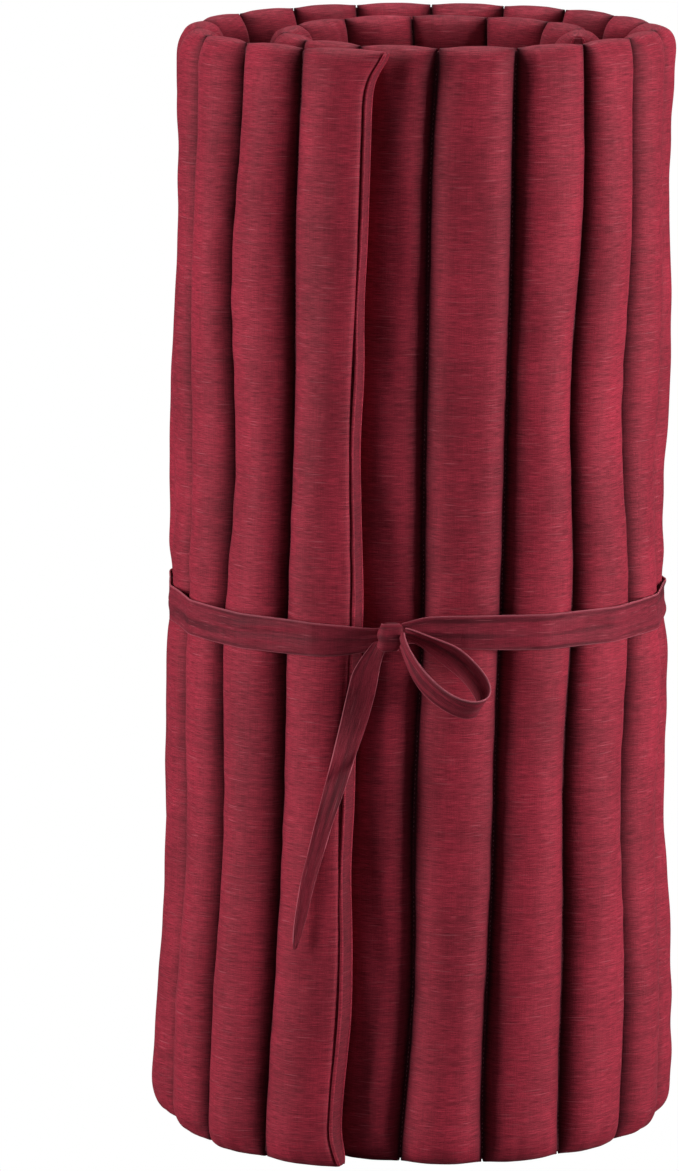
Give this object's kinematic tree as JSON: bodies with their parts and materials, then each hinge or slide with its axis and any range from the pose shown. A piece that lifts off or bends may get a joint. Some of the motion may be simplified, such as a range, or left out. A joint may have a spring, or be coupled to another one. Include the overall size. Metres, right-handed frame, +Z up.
{
  "type": "roll-up floor mattress",
  "caption": "Channel-quilted kapok floor mattress, rolled into a standing coil and tied round its middle with a cloth strap in a half bow; unrolls flat.",
  "frame": {"origin": "on the floor, at the centre of the whole part's plan box", "axes": "+Z up along the channels; the knot and the free end of the mattress face -Y"},
  "size_m": [0.4754, 0.5037, 1.05],
  "materials": {
    "quilt_fabric": "burgundy cross-woven slub cotton over kapok",
    "tie_fabric": "burgundy cross-woven slub cotton strap"
  },
  "bodies": {
    "quilt_01": {"channel_01": "quilt_fabric", "free_end_border": "quilt_fabric", "tie_length_01": "tie_fabric", "tie_knot": "tie_fabric", "bow_loop": "tie_fabric"},
    "quilt_02": {"channel_02": "quilt_fabric", "tie_length_02": "tie_fabric"},
    "quilt_03": {"channel_03": "quilt_fabric", "tie_length_03": "tie_fabric"},
    "quilt_04": {"channel_04": "quilt_fabric", "tie_length_04": "tie_fabric"},
    "quilt_05": {"channel_05": "quilt_fabric", "tie_length_05": "tie_fabric"},
    "quilt_06": {"channel_06": "quilt_fabric", "tie_length_06": "tie_fabric"},
    "quilt_07": {"channel_07": "quilt_fabric", "tie_length_07": "tie_fabric"},
    "quilt_08": {"channel_08": "quilt_fabric", "tie_length_08": "tie_fabric"},
    "quilt_09": {"channel_09": "quilt_fabric", "tie_length_09": "tie_fabric", "tie_anchor_patch": "tie_fabric"},
    "quilt_10": {"channel_10": "quilt_fabric", "tie_length_10": "tie_fabric"},
    "quilt_11": {"channel_11": "quilt_fabric", "tie_length_11": "tie_fabric"},
    "quilt_12": {"channel_12": "quilt_fabric", "tie_length_12": "tie_fabric"},
    "quilt_13": {"channel_13": "quilt_fabric", "tie_length_13": "tie_fabric"},
    "quilt_14": {"channel_14": "quilt_fabric", "tie_length_14": "tie_fabric"},
    "quilt_15": {"channel_15": "quilt_fabric", "tie_length_15": "tie_fabric"},
    "quilt_16": {"channel_16": "quilt_fabric", "tie_length_16": "tie_fabric"},
    "quilt_17": {"channel_17": "quilt_fabric", "tie_length_17": "tie_fabric"},
    "quilt_18": {"channel_18": "quilt_fabric", "tie_length_18": "tie_fabric"},
    "quilt_19": {"channel_19": "quilt_fabric"},
    "quilt_20": {"channel_20": "quilt_fabric"},
    "quilt_21": {"channel_21": "quilt_fabric"},
    "quilt_22": {"channel_22": "quilt_fabric"},
    "quilt_23": {"channel_23": "quilt_fabric"},
    "quilt_24": {"channel_24": "quilt_fabric"},
    "quilt_25": {"channel_25": "quilt_fabric"},
    "quilt_26": {"channel_26": "quilt_fabric"},
    "quilt_27": {"channel_27": "quilt_fabric"},
    "quilt_28": {"channel_28": "quilt_fabric", "core_end_border": "quilt_fabric"},
    "tail": {"tie_tail": "tie_fabric"}
  },
  "joints": [
    {"name": "seam_01", "type": "hinge", "parent": "quilt_02", "child": "quilt_01", "pos_m": [-0.12019, -0.16998, 0.525], "axis": [0, 0, -1], "range_deg": [0, 19]},
    {"name": "seam_02", "type": "hinge", "parent": "quilt_03", "child": "quilt_02", "pos_m": [-0.17265, -0.1214, 0.525], "axis": [0, 0, -1], "range_deg": [0, 19]},
    {"name": "seam_03", "type": "hinge", "parent": "quilt_04", "child": "quilt_03", "pos_m": [-0.20643, -0.05838, 0.525], "axis": [0, 0, -1], "range_deg": [0, 19]},
    {"name": "seam_04", "type": "hinge", "parent": "quilt_05", "child": "quilt_04", "pos_m": [-0.21787, 0.0122, 0.525], "axis": [0, 0, -1], "range_deg": [0, 19]},
    {"name": "seam_05", "type": "hinge", "parent": "quilt_06", "child": "quilt_05", "pos_m": [-0.2057, 0.08265, 0.525], "axis": [0, 0, -1], "range_deg": [0, 19]},
    {"name": "seam_06", "type": "hinge", "parent": "quilt_07", "child": "quilt_06", "pos_m": [-0.17125, 0.14531, 0.525], "axis": [0, 0, -1], "range_deg": [0, 19]},
    {"name": "seam_07", "type": "hinge", "parent": "quilt_08", "child": "quilt_07", "pos_m": [-0.11828, 0.19334, 0.525], "axis": [0, 0, -1], "range_deg": [0, 19]},
    {"name": "seam_08", "type": "hinge", "parent": "quilt_09", "child": "quilt_08", "pos_m": [-0.05257, 0.22151, 0.525], "axis": [0, 0, -1], "range_deg": [0, 19]},
    {"name": "seam_09", "type": "hinge", "parent": "quilt_10", "child": "quilt_09", "pos_m": [0.01874, 0.22674, 0.525], "axis": [0, 0, -1], "range_deg": [0, 19]},
    {"name": "seam_10", "type": "hinge", "parent": "quilt_11", "child": "quilt_10", "pos_m": [0.08787, 0.20848, 0.525], "axis": [0, 0, -1], "range_deg": [0, 19]},
    {"name": "seam_11", "type": "hinge", "parent": "quilt_12", "child": "quilt_11", "pos_m": [0.14729, 0.1687, 0.525], "axis": [0, 0, -1], "range_deg": [0, 19]},
    {"name": "seam_12", "type": "hinge", "parent": "quilt_13", "child": "quilt_12", "pos_m": [0.19051, 0.11175, 0.525], "axis": [0, 0, -1], "range_deg": [0, 19]},
    {"name": "seam_13", "type": "hinge", "parent": "quilt_14", "child": "quilt_13", "pos_m": [0.21285, 0.04383, 0.525], "axis": [0, 0, -1], "range_deg": [0, 19]},
    {"name": "unroll", "type": "hinge", "parent": "quilt_14", "child": "quilt_15", "pos_m": [0.21185, -0.02767, 0.525], "axis": [0, 0, 1], "range_deg": [0, 19]},
    {"name": "seam_15", "type": "hinge", "parent": "quilt_15", "child": "quilt_16", "pos_m": [0.18763, -0.09494, 0.525], "axis": [0, 0, 1], "range_deg": [0, 23]},
    {"name": "seam_16", "type": "hinge", "parent": "quilt_16", "child": "quilt_17", "pos_m": [0.13905, -0.1474, 0.525], "axis": [0, 0, 1], "range_deg": [0, 23]},
    {"name": "seam_17", "type": "hinge", "parent": "quilt_17", "child": "quilt_18", "pos_m": [0.07383, -0.17671, 0.525], "axis": [0, 0, 1], "range_deg": [0, 23]},
    {"name": "seam_18", "type": "hinge", "parent": "quilt_18", "child": "quilt_19", "pos_m": [0.00235, -0.17821, 0.525], "axis": [0, 0, 1], "range_deg": [0, 23]},
    {"name": "seam_19", "type": "hinge", "parent": "quilt_19", "child": "quilt_20", "pos_m": [-0.06404, -0.15165, 0.525], "axis": [0, 0, 1], "range_deg": [0, 23]},
    {"name": "seam_20", "type": "hinge", "parent": "quilt_20", "child": "quilt_21", "pos_m": [-0.11477, -0.10127, 0.525], "axis": [0, 0, 1], "range_deg": [0, 29]},
    {"name": "seam_21", "type": "hinge", "parent": "quilt_21", "child": "quilt_22", "pos_m": [-0.13472, -0.03261, 0.525], "axis": [0, 0, 1], "range_deg": [0, 29]},
    {"name": "seam_22", "type": "hinge", "parent": "quilt_22", "child": "quilt_23", "pos_m": [-0.11888, 0.03711, 0.525], "axis": [0, 0, 1], "range_deg": [0, 29]},
    {"name": "seam_23", "type": "hinge", "parent": "quilt_23", "child": "quilt_24", "pos_m": [-0.07122, 0.09041, 0.525], "axis": [0, 0, 1], "range_deg": [0, 29]},
    {"name": "seam_24", "type": "hinge", "parent": "quilt_24", "child": "quilt_25", "pos_m": [-0.0037, 0.11393, 0.525], "axis": [0, 0, 1], "range_deg": [0, 29]},
    {"name": "seam_25", "type": "hinge", "parent": "quilt_25", "child": "quilt_26", "pos_m": [0.06676, 0.10176, 0.525], "axis": [0, 0, 1], "range_deg": [0, 29]},
    {"name": "seam_26", "type": "hinge", "parent": "quilt_26", "child": "quilt_27", "pos_m": [0.12248, 0.05695, 0.525], "axis": [0, 0, 1], "range_deg": [0, 29]},
    {"name": "seam_27", "type": "hinge", "parent": "quilt_27", "child": "quilt_28", "pos_m": [0.14949, -0.00924, 0.525], "axis": [0, 0, 1], "range_deg": [0, 29]},
    {"name": "tail_swing", "type": "hinge", "parent": "quilt_01", "child": "tail", "pos_m": [-0.03527, -0.2, 0.484], "axis": [0, -1, 0], "range_deg": [-43, 41]}
  ],
  "couplings": [
    {"joint": "seam_01", "follows": "unroll", "ratio": 1},
    {"joint": "seam_02", "follows": "unroll", "ratio": 1},
    {"joint": "seam_03", "follows": "unroll", "ratio": 1},
    {"joint": "seam_04", "follows": "unroll", "ratio": 1},
    {"joint": "seam_05", "follows": "unroll", "ratio": 1},
    {"joint": "seam_06", "follows": "unroll", "ratio": 1},
    {"joint": "seam_07", "follows": "unroll", "ratio": 1},
    {"joint": "seam_08", "follows": "unroll", "ratio": 1},
    {"joint": "seam_09", "follows": "unroll", "ratio": 1},
    {"joint": "seam_10", "follows": "unroll", "ratio": 1},
    {"joint": "seam_11", "follows": "unroll", "ratio": 1},
    {"joint": "seam_12", "follows": "unroll", "ratio": 1},
    {"joint": "seam_13", "follows": "unroll", "ratio": 1},
    {"joint": "seam_15", "follows": "unroll", "ratio": 1.2105},
    {"joint": "seam_16", "follows": "unroll", "ratio": 1.2105},
    {"joint": "seam_17", "follows": "unroll", "ratio": 1.2105},
    {"joint": "seam_18", "follows": "unroll", "ratio": 1.2105},
    {"joint": "seam_19", "follows": "unroll", "ratio": 1.2105},
    {"joint": "seam_20", "follows": "unroll", "ratio": 1.5263},
    {"joint": "seam_21", "follows": "unroll", "ratio": 1.5263},
    {"joint": "seam_22", "follows": "unroll", "ratio": 1.5263},
    {"joint": "seam_23", "follows": "unroll", "ratio": 1.5263},
    {"joint": "seam_24", "follows": "unroll", "ratio": 1.5263},
    {"joint": "seam_25", "follows": "unroll", "ratio": 1.5263},
    {"joint": "seam_26", "follows": "unroll", "ratio": 1.5263},
    {"joint": "seam_27", "follows": "unroll", "ratio": 1.5263}
  ]
}
